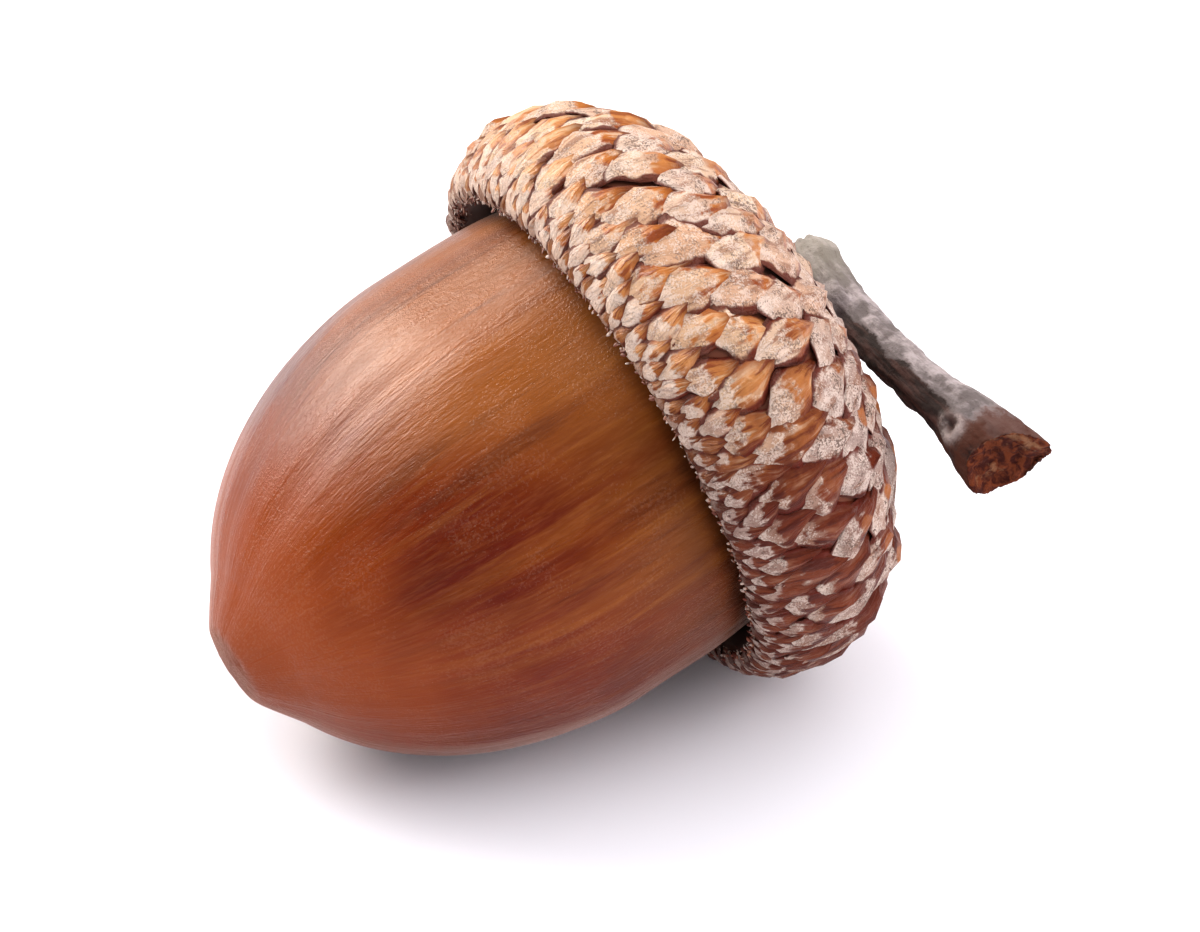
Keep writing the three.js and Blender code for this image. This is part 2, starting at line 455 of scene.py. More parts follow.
def make_nut_mesh():
    mesh = grid_mesh("nut_shell", turned(*nut_outline(), columns=192))
    points = points_of(mesh)
    reach = np.hypot(points[:, 0], points[:, 2])
    outwards = points[:, [0, 2]] / np.maximum(reach, 1e-6)[:, None]
    store(mesh, "grain", np.column_stack([outwards * NUT_RADIUS, points[:, 1]]))
    at_front = points[:, 1] > BELLY_AT
    store(mesh, "knob", smooth_step(2.0, 1.2, reach) * at_front)
    store(mesh, "from_rim", points[:, 1] - LIP_AT)
    # Lengthwise ribs fade where the skin closes at both ends.
    angles = np.arctan2(points[:, 2], points[:, 0])
    around = np.stack([np.cos(angles), np.sin(angles), points[:, 1]], -1) * RIB_GRAIN
    ribs = noise_at(around, 1.0, 3.1) * RIB_HEIGHT * np.minimum(1, reach / 7)
    dents = noise_at(points, 4.5, 7.7, octaves=2) * DENT_DEPTH
    wear = noise_at(points, 0.6, 11.2) * KNOB_WEAR * smooth_step(2.2, 1.4, reach) * at_front
    growth = 1 + (ribs + dents) / np.maximum(reach, 2.5)
    points[:, [0, 2]] *= growth[:, None]
    points[:, 1] += wear
    set_points(mesh, points)
    return mesh


nut_mesh = make_nut_mesh()
print("the nut is", round(float(np.ptp(points_of(nut_mesh)[:, 1])), 2), "mm long")

# %% [markdown]
# The skin is a thin, hard husk. Its colour lies in long streaks from the cup to the tip: deep red-brown
# where the tannins gathered and plain orange near the tip. Painted light makes the upper side amber, and
# painted shade darkens the skin along the cup's rim and towards the bottom. It is satin, not glossy,
# because a fine lengthwise fibre and a little dust break up the shine.

# %% The nut's skin
def make_nut_skin():
    material, tree, shader = new_material("nut_skin")
    grain = attribute(tree, "grain", "Vector")
    from_rim, knob = attribute(tree, "from_rim"), attribute(tree, "knob")
    in_mm = place_in_mm(tree)
    height = split(in_mm)[2]
    fine_band, coarse_band = fibres(grain, 1.35, 15.0)
    fine_fibre, coarse_fibre = fibres(grain, 6.5, 7.0)
    leather = fibres(grain, 5.0, 1.8)[0]
    dust = specks(in_mm, 9.0, 0.5, 3.0)
    clouds = clouds_at(in_mm, 0.16, 2.0)
    streaky = remap(from_rim, 15.0, 7.0, 0.05, 1.0)
    near_cup = remap(from_rim, 8.0, 0.5, 0.0, 0.8) * remap(coarse_band, 0.36, 0.58, 0.35, 1.0)
    # Painted light: the upper side of the nut, by its height above the table, is painted lighter and amber.
    painted_top_light = remap(clouds * 3.0 + height, 16.0, 20.5) * remap(from_rim, 13.0, 6.0)
    # Painted shade: a dark band on the skin next to the cup's rim, weaker on the top of the nut.
    painted_rim_shade = remap(fine_band + from_rim, 1.35, 0.5, 0.0, 0.75) * remap(height, 20.0, 14.0, 0.25, 1.0)
    colour = paint(
        # Deep red-brown in the middle, orange towards the tip, ochre near the cup, and painted light that
        # makes the top amber.
        blend(remap(clouds, 0.38, 0.62), (0.093, 0.0065, 0.0006), (0.145, 0.0165, 0.0015)),
        (remap(clouds * 5.0 + from_rim, 12.5, 18.5, 0.0, 0.85), (0.28, 0.046, 0.003)),
        (near_cup, (0.13, 0.034, 0.005)),
        (painted_top_light * 0.7, (0.28, 0.076, 0.009)),
        # Broad bands and narrow lines, light and dark, fade out towards the tip, where the skin is plain.
        (streaky * remap(coarse_band, 0.52, 0.66, 0.0, 0.35), (0.27, 0.078, 0.01)),
        (streaky * remap(coarse_band, 0.48, 0.34, 0.0, 0.6), (0.065, 0.008, 0.001)),
        (streaky * remap(fine_band, 0.48, 0.32, 0.0, 0.45), (0.06, 0.01, 0.002)),
        (streaky * remap(fine_band, 0.54, 0.68, 0.0, 0.25), (0.34, 0.11, 0.018)),
        # Fibres and dust lighten it, the knob is darker, and painted shade darkens the skin along the cup's
        # rim.
        (remap(fine_fibre, 0.42, 0.7, 0.0, 0.12), (0.4, 0.13, 0.04)),
        (dust * 0.05, (0.55, 0.3, 0.2)),
        (knob * 0.5, (0.09, 0.022, 0.009)),
        (painted_rim_shade, (0.03, 0.006, 0.002)),
        # Painted shade: the skin is darker towards the bottom of the nut, by its height above the table.
        (remap(height, 10.0, 2.5, 0.0, 0.6), (0.075, 0.006, 0.0008)),
    )
    fill(shader, {
        "Base Color": colour,
        "Roughness": knob * 0.35 + remap(coarse_fibre, 0.3, 0.7, 0.26, 0.44),
        "Specular IOR Level": 0.11,
        "Sheen Weight": 0.5,
        "Sheen Roughness": 0.2,
        "Sheen Tint": (1.0, 0.72, 0.6, 1.0),
        "Normal": relief(
            (fine_fibre, 0.07, remap(from_rim, 17.0, 10.0, 0.3, 0.6)),
            (leather, 0.05, 0.5),
            (dust, 0.02, 0.4),
            (fine_band, 0.08, 0.3),
        ),
    })
    return material


outward(nut_mesh)
rim_middle = laid @ Vector((0, LIP_AT, 0))
skew = Matrix.Rotation(NUT_SKEW, 4, "Z")
lay_down(nut_mesh, Matrix.Translation(rim_middle) @ skew @ Matrix.Translation(-rim_middle) @ laid)
finished(nut_mesh, "nut", make_nut_skin())

# %% [markdown]
# ## The cup's wall
#
# Under its scales the cup is one turned, woody bowl. Its outside is the ellipsoid of the back, rolled in
# at the rim. The wall lies a little under the scales, so that only dark cracks of it show. The hollow is
# lined with felt and follows the nut with a small gap.

# %% The cup's outline
LIP_RADIUS = 10.85
SEAT_GAP = 0.5
SCALE_SPACING = 2.1  # between scales on the cup's back and side
RIM_SPACING = 0.62  # between the smallest scales, at the rim
POLE_SPACING = 1.25  # between those round the stalk


def cup_envelope(steps=240):
    """The outline over the scales' tips, from the back to the rim's front edge, as even steps of arc."""
    back = np.linspace(0, np.pi / 2, 400)
    lip = np.linspace(0, np.pi / 2, 200)[1:]
    lip_radius = LIP_RADIUS + (CUP_RADIUS - LIP_RADIUS) * np.cos(lip)
    radius = np.concatenate([CUP_RADIUS * np.sin(back), lip_radius])
    along = np.concatenate([-CUP_BACK * np.cos(back), LIP_AT * np.sin(lip)])
    arc = np.concatenate([[0], np.cumsum(np.hypot(np.diff(radius), np.diff(along)))])
    even = np.linspace(0, arc[-1], steps)
    return even, np.interp(even, arc, radius), np.interp(even, arc, along)


arc, arc_radius, arc_along = cup_envelope()
ARC_END = arc[-1]
ARC_WIDEST = arc[np.argmax(arc_radius)]


def spacing_at(where):
    """How far apart the scales lie at a length along the outline."""
    grown = POLE_SPACING + (SCALE_SPACING - POLE_SPACING) * smooth_step(1.0, 8.0, where)
    return grown + (RIM_SPACING - grown) * smooth_step(ARC_WIDEST - 1.4, ARC_END + 0.3, where)


print("the cup's outline is", round(float(ARC_END), 1), "mm from its back to its rim")

# %% The wall's shape
WALL_DEPTH = 0.2  # under the scales, as a share of their spacing
LINING_START = LIP_AT - 0.9
EDGE_IN, EDGE_OUT = 0.12, 0.02  # the wall's front edge turns in and a little out past the rim
EDGE_FOOT = (0.04, 0.55)  # how far the edge ends outside the hollow, and behind the rim


def make_cup_wall():
    tangent = np.stack([np.gradient(arc_radius), np.gradient(arc_along)], -1)
    tangent /= np.linalg.norm(tangent, axis=1, keepdims=True)
    depth = WALL_DEPTH * spacing_at(arc)
    outer_radius = np.maximum(0.02, arc_radius - tangent[:, 1] * depth)
    outer_along = arc_along + tangent[:, 0] * depth
    hollow_radius, hollow_along = seat_outline(SEAT_GAP, 90)
    inside = hollow_along < LINING_START
    edge_radius = [outer_radius[-1] - EDGE_IN, NUT_RADIUS + SEAT_GAP + EDGE_FOOT[0]]
    edge_along = [outer_along[-1] + EDGE_OUT, LIP_AT - EDGE_FOOT[1]]
    radius = np.concatenate([outer_radius, edge_radius, hollow_radius[inside]])
    along = np.concatenate([outer_along, edge_along, hollow_along[inside]])
    mesh = grid_mesh("cup_wall", turned(radius, along, columns=160))
    points = points_of(mesh)
    near_nut = np.hypot(points[:, 0], points[:, 2]) < NUT_RADIUS + SEAT_GAP + 0.3
    store(mesh, "lining", near_nut * (points[:, 1] > 1.0 - CUP_BACK) * 1.0)
    return mesh


def make_wall_material():
    material, tree, shader = new_material("cup_wall")
    pores = specks(place_in_mm(tree), 4.0, 0.2)
    wood = blend(pores, (0.13, 0.033, 0.014), (0.27, 0.1, 0.05))
    felt = blend(pores, (0.07, 0.028, 0.014), (0.15, 0.075, 0.04))
    colour = blend(attribute(tree, "lining"), wood, felt)
    fill(shader, {"Base Color": colour, "Roughness": 0.85, "Normal": relief((pores, 0.08, 0.6))})
    return material


cup_wall_mesh = make_cup_wall()
outward(cup_wall_mesh)
lay_down(cup_wall_mesh)
finished(cup_wall_mesh, "cup", make_wall_material())

# %% [markdown]
# ## The scales
#
# A cup's scales grow one after another, each turned from the last by the golden angle, the same rule
# that packs a sunflower's seeds. That gives the crossing spirals for nothing. Each new scale is set a
# little further from the stalk, by just enough for its own share of the surface, so the scales can be
# broad on the back and small at the rim.
#
# The seeds are only numbers: an angle, a length along the outline and a size. Geometry Nodes then lays
# one scale on each seed and wraps it onto the cup's outline, so that even the scales on the rolled rim
# follow the surface.

# %% One seed for each scale
GOLDEN_ANGLE = math.pi * (3 - math.sqrt(5))
RIM_CURL = 0.65  # how far the outline curls in past the rim
FIRST_SEED = 1.1
LAST_SEED = ARC_END - 0.15
SEED_JITTER = 0.09  # of a scale's size


def golden_seeds():
    """Angle, length along the outline and size of each scale, from the stalk to the rim."""
    chance = np.random.default_rng(12)
    placed = []
    where, angle = FIRST_SEED, 0.0
    while where < LAST_SEED:
        size = float(spacing_at(where))
        radius = float(np.interp(where, arc, arc_radius))
        shift = chance.uniform(-SEED_JITTER, SEED_JITTER, 2) * size
        placed.append((angle % (2 * math.pi) + shift[0] / radius, where + shift[1], size))
        angle += GOLDEN_ANGLE
        where += size**2 / (2 * math.pi * radius)
    return np.array(placed)


seeds = golden_seeds()
print(len(seeds), "scales,", round(seeds[:, 2].min(), 2), "to", round(seeds[:, 2].max(), 2), "mm apart")

# %% [markdown]
# One scale is a little spade. Its narrow root hides under its neighbours and stands up as a smooth keel
# between them; its free end is broad, blunt and nearly flat. Five slightly different spades are enough,
# because each copy is also turned, tilted, stretched and ruffled by chance. They are drawn in units of
# the scales' spacing: X across, Y towards the tip and Z off the surface. A second set of numbers, `leaf`,
# runs from -1 to 1 across the scale and from 0 to 1 along it, for the material to colour by.

# %% Five different scales
SCALE_BASE, SCALE_TIP = -1.25, 1.08
PANELS_ACROSS = 6
ROOT_SINKS, TIP_STANDS = 0.12, 0.07
EDGE_DROP = 0.07  # the edges and the tip curl down by this much
TIP_CURVE = 0.1
SKIRT = 0.02


def scale_shape(name, width, shoulder, bluntness, keel, slant):
    """One closed scale. It is widest at `shoulder`, a share of its length, and its tip leans."""
    to_tip = shoulder + (1 - shoulder) * np.sin(np.linspace(0, np.pi / 2, 6))
    share = np.concatenate([np.linspace(0, shoulder, 5)[:-1], to_tip])[:, None]
    along = SCALE_BASE + (SCALE_TIP - SCALE_BASE) * share
    beyond = np.maximum(0, (share - shoulder) / (1 - shoulder))
    half = width * (0.3 + 0.7 * smooth_step(0.1, shoulder, share))
    half = half * np.maximum(0.3, 1 - beyond**bluntness) ** 0.7
    across = np.linspace(-1, 1, PANELS_ACROSS + 1)
    y = along - (TIP_CURVE * across**2 + slant * across) * smooth_step(shoulder - 0.2, 1.0, share)
    lift = -ROOT_SINKS + (ROOT_SINKS + TIP_STANDS) * smooth_step(0.0, 0.8, share)
    ridge = np.exp(-((np.abs(across) / (0.55 - 0.15 * smooth_step(0.3, 0.8, share))) ** 1.5))
    ridge = keel * ridge * smooth_step(0.02, 0.25, share) * (1 - 0.85 * smooth_step(0.45, 0.85, share))
    edge = -EDGE_DROP * np.abs(across) ** 3 * (1 - 0.5 * smooth_step(0.5, 0.8, share))
    z = lift + ridge + edge - EDGE_DROP * beyond**2
    points = np.stack([half * across, y, z], -1).reshape(-1, 3)
    grid = np.arange(len(points)).reshape(y.shape)
    corners = [grid[:-1, :-1], grid[:-1, 1:], grid[1:, 1:], grid[1:, :-1]]
    faces = np.stack(corners, -1).reshape(-1, 4).tolist()
    # A thin skirt and a bottom close it. The border runs once round the grid.
    border = [*grid[0], *grid[1:, -1], *grid[-1, -2::-1], *grid[-2:0:-1, 0]]
    skirt = len(points) + np.arange(len(border))
    faces += np.stack([border, skirt, np.roll(skirt, -1), np.roll(border, -1)], -1).tolist()
    faces.append(skirt.tolist())
    under = points[border] * (0.95, 0.97, 1) - (0, 0, SKIRT)
    leaf = np.stack(np.broadcast_arrays(across, share, half), -1).reshape(-1, 3)
    mesh = mesh_of(name, np.vstack([points, under]).tolist(), faces)
    outward(mesh)
    store(mesh, "scale_place", points_of(mesh))
    store(mesh, "leaf", np.vstack([leaf, leaf[border]]))
    return bpy.data.objects.new(name, mesh)


scale_shapes = bpy.data.collections.new("scale_shapes")
for number, (width, shoulder, bluntness, keel, slant) in enumerate([
    (0.61, 0.66, 2.6, 0.17, 0.05),
    (0.57, 0.6, 2.0, 0.22, -0.16),
    (0.64, 0.72, 3.6, 0.12, 0.2),
    (0.55, 0.56, 2.2, 0.27, 0.04),
    (0.62, 0.66, 3.2, 0.15, -0.28),
]):
    scale_shapes.objects.link(scale_shape(f"scale_{number}", width, shoulder, bluntness, keel, slant))

# %% [markdown]
# The node tree picks one of the five shapes for each seed, draws its chances and makes the copies real.
# Then it ruffles, turns, tilts and stretches each scale while it is still flat. Last, it reads the cup's
# outline at the point's own length along it, and swings that place round the axis. Because a scale is
# turned before it is wrapped, a turned scale still hugs the cup.

# %% Tools for growing things on points
def field(tree, name, kind="FLOAT"):
    return add(tree, "GeometryNodeInputNamedAttribute", {"Name": name}, "Attribute", data_type=kind)


def chance(seed, low, high):
    """A random number for each item, or a random vector if the limits are vectors."""
    kind, first, output = ("FLOAT_VECTOR", 0, 0) if isinstance(low, tuple) else ("FLOAT", 2, 1)
    inputs = {first: low, first + 1: high, "Seed": seed}
    return add(seed.tree, "FunctionNodeRandomValue", inputs, output, data_type=kind)


def note_on_copies(copies, name, value):
    """Stores a number on each copy, under a name that the material can read."""
    inputs = {"Geometry": copies, "Name": name, "Value": value}
    return add(copies.tree, "GeometryNodeStoreNamedAttribute", inputs, data_type="FLOAT", domain="INSTANCE")


def growing_tree(name, inputs):
    """An empty Geometry Nodes tree that takes seeds and a material, and gives what grows on the seeds."""
    inputs = {"Geometry": "Geometry", "Material": "Material", **inputs}
    return new_group("GeometryNodeTree", name, inputs, {"Geometry": "Geometry"})


def hand_over(geometry, given, result):
    """Ends a growing tree: gives the grown things their material and puts them out."""
    inputs = {"Geometry": geometry, "Material": given["Material"]}
    fill(result, {"Geometry": add(geometry.tree, "GeometryNodeSetMaterial", inputs)})


def modified(name, mesh, kind, set_up):
    """Runs one modifier on a mesh and returns the result as a plain mesh."""
    holder = shown(mesh.name, mesh)
    set_up(holder.modifiers.new(name, kind))
    bpy.context.view_layer.update()
    evaluated = holder.evaluated_get(bpy.context.evaluated_depsgraph_get())
    made = bpy.data.meshes.new_from_object(evaluated)
    made.name = name
    holder.modifiers.clear()
    bpy.data.objects.remove(holder)
    return made


def grown(name, seeds, tree, values):
    """Grows a tree's things on seeds, three numbers for each, and returns them as a plain mesh."""
    mesh = mesh_of(name + "_seeds", [(0, 0, 0)] * len(seeds))
    store(mesh, "seed", seeds)

    def set_up(modifier):
        modifier.node_group = tree
        for item in tree.interface.items_tree:
            if item.in_out == "INPUT" and item.name in values:
                modifier[item.identifier] = values[item.name]

    return modified(name, mesh, "NODES", set_up)


print("tools for growing:", ", ".join(tool.__name__ for tool in (chance, growing_tree, modified, grown)))

# %% The tree that lays the scales
RUFFLE_SPREAD = 37.0  # so far apart that no two scales are ruffled alike
RUFFLE_LUMPS = 1.7


def make_scale_tree():
    tree, given, result = growing_tree("lay_scales", {
        "Shapes": "Collection", "Outline": "Object",
        "Depth": 0.11, "Turn": 0.28, "Tilt": 0.025, "Stretch": 0.2, "Ruffle": 0.26, "Seed": 5,
    })
    shape_inputs = {"Collection": given["Shapes"], "Separate Children": True, "Reset Children": True}
    shapes = add(tree, "GeometryNodeCollectionInfo", shape_inputs)
    laying = {"Points": given["Geometry"], "Instance": shapes, "Pick Instance": True}
    copies = add(tree, "GeometryNodeInstanceOnPoints", laying)
    for number, name in enumerate(("turn", "tilt", "stretch", "tone")):
        copies = note_on_copies(copies, name, chance(given["Seed"] + float(number), -1.0, 1.0))
    real = add(tree, "GeometryNodeRealizeInstances", {"Geometry": copies})
    # The ruffle: soft noise that is different on every scale, because its own seed shifts it.
    seed, place = field(tree, "seed", "FLOAT_VECTOR"), field(tree, "scale_place", "FLOAT_VECTOR")
    cloud = clouds_at(vector_maths("ADD", place, scaled(seed, RUFFLE_SPREAD)), RUFFLE_LUMPS, 2.0, "Color")
    ruffle = scaled(vector_maths("SUBTRACT", cloud, (0.5, 0.5, 0.5)), given["Ruffle"])
    place_x, place_y, place_z = split(vector_maths("ADD", place, ruffle))
    angle, where, size = split(seed)
    turn = field(tree, "turn") * given["Turn"]
    cosine, sine = maths("COSINE", turn), maths("SINE", turn)
    long = place_y * (field(tree, "stretch") * given["Stretch"] + 1.0)
    x = place_x * cosine - long * sine
    y = place_x * sine + long * cosine
    z = place_y * (field(tree, "tilt") * given["Tilt"]) + place_z
    height = (z - given["Depth"]) * size
    outline = add(tree, "GeometryNodeObjectInfo", {"Object": given["Outline"]}, "Geometry")

    def on_outline(length):
        inputs = {"Curves": outline, "Length": length}
        settings = {"mode": "LENGTH", "use_all_curves": False}
        spot, heading = add(tree, "GeometryNodeSampleCurve", inputs, ("Position", "Tangent"), **settings)
        return split(spot), split(heading)

    spot, heading = on_outline(maths("MAXIMUM", y * size + where, 0.0))
    seed_radius = on_outline(where)[0][0]
    swing = angle + x * size / seed_radius
    radius = heading[1] * height + spot[0]
    along = spot[1] - heading[0] * height
    wrapped = join(radius * maths("COSINE", swing), along, radius * maths("SINE", swing))
    hand_over(add(tree, "GeometryNodeSetPosition", {"Geometry": real, "Position": wrapped}), given, result)
    return tree


def outline_over_rim():
    """The cup's outline as a curve, led on over the rim's edge and a little way into the gap."""
    turn = np.linspace(0, np.pi / 2, 12)[1:]
    radius = np.concatenate([arc_radius, arc_radius[-1] - RIM_CURL * np.sin(turn)])
    along = np.concatenate([arc_along, arc_along[-1] - RIM_CURL * (1 - np.cos(turn))])
    curve = bpy.data.curves.new("cup_outline", "CURVE")
    curve.dimensions = "3D"
    line = curve.splines.new("POLY")
    line.points.add(len(radius) - 1)
    for spot, r, y in zip(line.points, radius, along):
        spot.co = (r, y, 0, 1)
    return bpy.data.objects.new("cup_outline", curve)


scale_tree = make_scale_tree()
print("the tree that lays the scales has", len(scale_tree.nodes), "nodes")

# %% [markdown]
# A scale's colour changes along it. The keel at its base is smooth; painted light makes it amber on top
# of the cup, and painted shade makes it dark below. The free tip is pale and downy with dark pores, and its
# edges are stained red-brown. Every colour has a lit and a shaded copy, blended by height on the cup as
# painted light. Scales on the back have weathered grey, and the smallest, at the rim, are the palest.

# %% The scales' material
def make_scale_material():
    material, tree, shader = new_material("cup_scales")
    in_mm = place_in_mm(tree)
    height = split(in_mm)[2]
    sideways, along, _ = split(attribute(tree, "leaf", "Vector"))
    across = maths("ABSOLUTE", sideways)
    tone = attribute(tree, "tone")
    angle, arc_place, size = split(attribute(tree, "seed", "Vector"))
    wobble = clouds_at(in_mm, 1.5, 4.0)
    pores = specks(in_mm, 11.0, 0.56, 0.8)
    down = specks(in_mm, 13.0, 0.75, 0.7)
    # Wrinkles run along the scale: its own coordinates are squeezed sideways, and each scale has others.
    wrinkles = clouds_at(join(sideways * 1.5, along, angle * 40.0), 2.4, 5.0)
    # Gradients over the whole cup: painted light, lighter on the cup's top and darker below, a weathered
    # back and the newest scales at the rim.
    painted_sunlit_top = remap(wobble * 6.0 + height, 16.8, 25.0)
    weathered = remap(tone * 0.8 + arc_place, ARC_WIDEST + 0.2, ARC_WIDEST - 3.8)
    weathered = weathered * remap(painted_sunlit_top, 0.0, 1.0, 1.0, 0.6)
    newest = remap(size, 1.7, 0.9)

    # Painted light: a shaded copy of a colour for the lower cup and a lit copy for its top.
    def lit(shady, sunlit):
        return blend(painted_sunlit_top, shady, sunlit)

    keel = paint(
        lit((0.1, 0.015, 0.005), (0.42, 0.125, 0.018)),
        (remap(tone, -0.6, 1.0, 0.0, 0.6), lit((0.19, 0.042, 0.014), (0.6, 0.27, 0.09))),
        (remap(wobble, 0.5, 0.68, 0.0, 0.5), lit((0.15, 0.036, 0.02), (0.66, 0.36, 0.17))),
        (remap(wrinkles, 0.52, 0.66, 0.0, 0.75), lit((0.24, 0.09, 0.05), (0.7, 0.45, 0.25))),
        (remap(wrinkles, 0.47, 0.36, 0.0, 0.85), lit((0.06, 0.009, 0.005), (0.2, 0.035, 0.01))),
        # Painted shade: the sides of the keel, the hollows beside its ridge, are darker.
        (remap(across, 0.2, 0.75, 0.0, 0.65), lit((0.06, 0.01, 0.006), (0.28, 0.07, 0.022))),
        (remap(along, 0.48, 0.16, 0.0, 0.9), (0.1, 0.018, 0.008)),
    )
    dotted = (weathered * 0.5 + 0.45) * remap(wobble, 0.4, 0.58, 0.4, 1.0)
    dotted = dotted * remap(newest, 0.0, 1.0, 1.0, 0.4)
    tip = paint(
        lit((0.26, 0.14, 0.1), (0.6, 0.36, 0.21)),
        (weathered, lit((0.33, 0.235, 0.2), (0.47, 0.355, 0.3))),
        (remap(tone, 0.2, 0.9, 0.0, 0.6), lit((0.44, 0.29, 0.22), (0.68, 0.46, 0.28))),
        (remap(tone, -0.2, -0.9, 0.0, 0.5), lit((0.3, 0.19, 0.15), (0.55, 0.27, 0.13))),
        (remap(wrinkles, 0.5, 0.38, 0.0, 0.7), (0.22, 0.095, 0.055)),
        (remap(along, 0.82, 0.98, 0.0, 0.5), (0.72, 0.58, 0.49)),
        (newest * 0.55, lit((0.43, 0.31, 0.27), (0.76, 0.58, 0.48))),
        (down * 0.45, (0.78, 0.64, 0.55)),
        (pores * dotted, (0.1, 0.06, 0.045)),
    )
    # Down covers more of a scale where it is weathered or small, and a little more on the cup's top, by the
    # mask of painted light.
    start = along + wobble * 0.75 + wrinkles * 0.5 + tone * -0.1
    downy = remap(start + weathered * 0.24 + painted_sunlit_top * 0.15 + newest * 0.1, 1.3, 1.42)
    # A worn orange patch shows near the root of some of the weathered scales.
    patch_x, patch_y = across / 0.34, (along - 0.52) / 0.09
    patch = remap(patch_x * patch_x + patch_y * patch_y, 1.2, 0.6) * weathered * remap(tone, 0.0, 0.15)
    edge = remap(wobble * 0.6 + across, 0.93, 1.08)
    rim_of_tip = remap(wobble * 0.04 + along, 0.975, 1.01)
    # Painted shade: scales that have rolled into the gap are darkened, as the gap lies in shade.
    rolled_in = remap(arc_place, ARC_END - 0.75, ARC_END - 0.15, 0.0, 0.75)
    colour = paint(
        keel,
        (downy, tip),
        (patch * 0.85, (0.34, 0.11, 0.03)),
        (maths("MAXIMUM", edge, rim_of_tip) * 0.92, (0.11, 0.016, 0.009)),
        (rolled_in, lit((0.06, 0.016, 0.01), (0.22, 0.075, 0.03))),
    )
    fill(shader, {
        "Base Color": colour,
        "Roughness": remap(downy, 0.0, 1.0, 0.4, 0.9),
        "Specular IOR Level": 0.14,
        "Normal": relief(
            (down * downy, 0.04, 0.6),
            (pores * downy, -0.05, 0.6),
            (wrinkles, 0.3, 0.7),
            (wobble, 0.3, 0.6),
        ),
    })
    return material


scale_material = make_scale_material()
scale_inputs = {"Shapes": scale_shapes, "Outline": outline_over_rim(), "Material": scale_material}
scales_mesh = grown("cup_scales", seeds, scale_tree, scale_inputs)
print("attributes on the scales:", [a.name for a in scales_mesh.attributes])
lay_down(scales_mesh)
finished(scales_mesh, "cup", scale_material, stands_for=False)

# %% [markdown]
# ## The fringe at the rim
#
# Where the newest scales stop, the rim is fuzzy: crumbs of down and the points of stunted scales lean in
# towards the nut and half close the gap. One little flake is enough. Geometry Nodes sets it round a
# circle nearly two thousand times and tips each copy its own way.

# %% One flake, and the tree that sets it round the rim
FLAKE_LENGTH, FLAKE_WIDTH, FLAKE_THICKNESS, FLAKE_BEND = 0.25, 0.15, 0.06, 0.05


def flake_shape():
    share = np.array([0.0, 0.45, 0.8])
    width = FLAKE_WIDTH * np.array([0.3, 0.5, 0.32])
    flat = FLAKE_THICKNESS / FLAKE_WIDTH
    rings = np.zeros((3, 4, 3))
    rings[:, :, :2] = width[:, None, None] * np.array([(1, 0), (0, flat), (-1, 0), (0, -flat)])
    rings[:, :, 2] = (FLAKE_LENGTH * share)[:, None]
    rings[:, :, 1] += (FLAKE_BEND * share**2)[:, None]
    mesh = grid_mesh("flake", rings)
    points = points_of(mesh)
    points[-1, 2] = FLAKE_LENGTH
    set_points(mesh, points)
    outward(mesh)
    store(mesh, "tipward", points[:, 2] / FLAKE_LENGTH)
    return bpy.data.objects.new("flake", mesh)


def make_fringe_tree():
    tree, given, result = growing_tree("rim_fringe", {
        "Flake": "Object", "Count": 1900, "Radius": 10.78, "Along": 3.06, "Spread": 0.22, "Seed": 3,
    })
    circle = add(tree, "GeometryNodeMeshCircle", {"Vertices": given["Count"], "Radius": given["Radius"]})
    standing = {"Translation": join(0.0, given["Along"]), "Rotation": (math.pi / 2, 0, 0)}
    stood = add(tree, "GeometryNodeTransform", {"Geometry": circle, **standing})
    shake = scaled(chance(given["Seed"], (-1, -1, -1), (1, 1, 1)), given["Spread"])
    shaken = add(tree, "GeometryNodeSetPosition", {"Geometry": stood, "Offset": shake})
    inward = vector_maths("MULTIPLY", add(tree, "GeometryNodeInputPosition"), (-1, 0, -1))
    lean = chance(given["Seed"] + 1.0, (-1.2, -0.5, -1.2), (1.2, 1.0, 1.2))
    heading = vector_maths("ADD", vector_maths("NORMALIZE", inward), lean)
    copies = add(tree, "GeometryNodeInstanceOnPoints", {
        "Points": shaken,
        "Instance": add(tree, "GeometryNodeObjectInfo", {"Object": given["Flake"]}, "Geometry"),
        "Rotation": add(tree, "FunctionNodeAlignRotationToVector", {"Vector": heading}, axis="Z"),
        "Scale": chance(given["Seed"] + 2.0, 0.45, 1.15),
    })
    copies = note_on_copies(copies, "tone", chance(given["Seed"] + 3.0, 0.0, 1.0))
    hand_over(add(tree, "GeometryNodeRealizeInstances", {"Geometry": copies}), given, result)
    return tree


def make_fringe_material():
    material, tree, shader = new_material("rim_fringe")
    tone, tipward = attribute(tree, "tone"), attribute(tree, "tipward")
    dots = specks(place_in_mm(tree), 12.0, 0.6)
    colour = paint(
        blend(remap(tone, 0.2, 0.8), (0.16, 0.03, 0.014), (0.36, 0.13, 0.06)),
        (remap(tipward, 0.1, 0.7) * remap(tone, 0.5, 0.75, 0.0, 0.9), (0.62, 0.5, 0.43)),
        (dots * 0.4, (0.08, 0.03, 0.02)),
    )
    fill(shader, {"Base Color": colour, "Roughness": 0.8, "Normal": relief((dots, 0.03, 0.5))})
    return material


fringe_material = make_fringe_material()
fringe_inputs = {"Flake": flake_shape(), "Material": fringe_material}
fringe_mesh = grown("rim_fringe", np.zeros((1, 3)), make_fringe_tree(), fringe_inputs)
lay_down(fringe_mesh)
finished(fringe_mesh, "cup", fringe_material, stands_for=False)

# %% [markdown]
# ## The stalk
#
# The stalk runs across the back of the cup, joined to it by a short neck. It swells to a knuckle at one
# end and flares at the other, where it tore off the twig. The shaft and the neck are drawn as two plain
# shells and melted into one skin by a voxel remesh, so their join is as soft as on the tree. Bark
# ridges, a round scar and the torn face are pressed into that skin afterwards.

